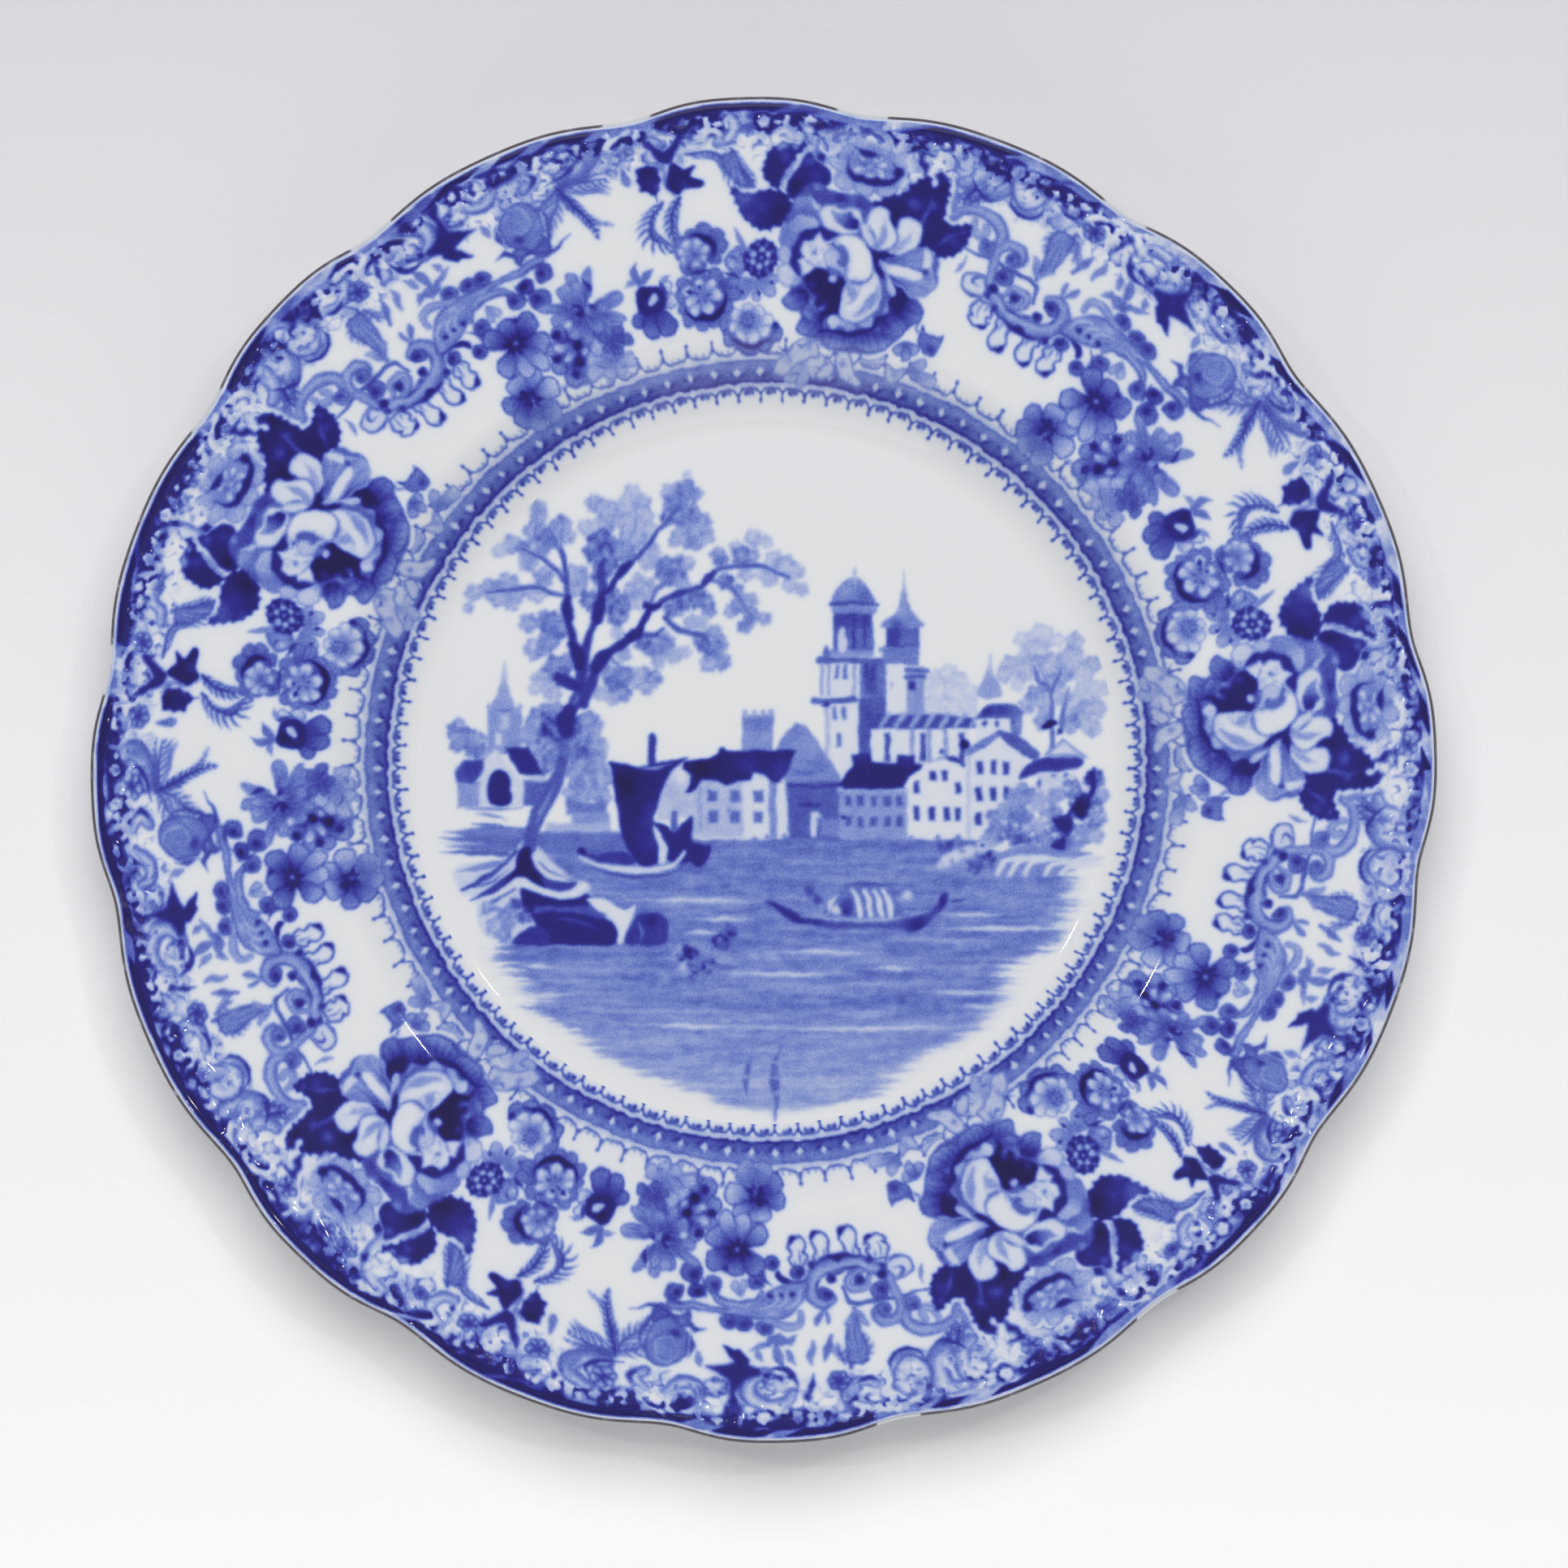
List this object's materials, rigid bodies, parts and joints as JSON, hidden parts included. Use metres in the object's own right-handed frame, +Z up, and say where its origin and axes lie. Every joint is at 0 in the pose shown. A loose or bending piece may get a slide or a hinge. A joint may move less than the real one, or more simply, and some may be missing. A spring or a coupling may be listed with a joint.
{
  "type": "dinner plate",
  "caption": "Round china dinner plate with a scalloped moulded edge, a wide gently rising rim, a flat well and a foot ring, printed in blue under a clear glaze.",
  "frame": {"origin": "middle of the foot ring's resting plane", "axes": "+Z up out of the dish, square to the foot ring; +Y towards the top of the picture in the well; +X to the picture's right"},
  "size_m": [0.2596, 0.2596, 0.0236],
  "materials": {
    "glazed_body": "cool white clear-glazed earthenware, glossy",
    "centre_print": "cobalt blue transfer print under glossy clear glaze",
    "border_print": "cobalt blue transfer print under glossy clear glaze, slightly bled",
    "edge_line": "dark worn metallic lustre, satin gloss"
  },
  "bodies": {
    "root": {"plate_body": "glazed_body", "centre_print": "centre_print", "border_print_1": "border_print", "border_print_2": "border_print", "border_print_3": "border_print", "border_print_4": "border_print", "border_print_5": "border_print", "edge_line": "edge_line"}
  },
  "joints": []
}
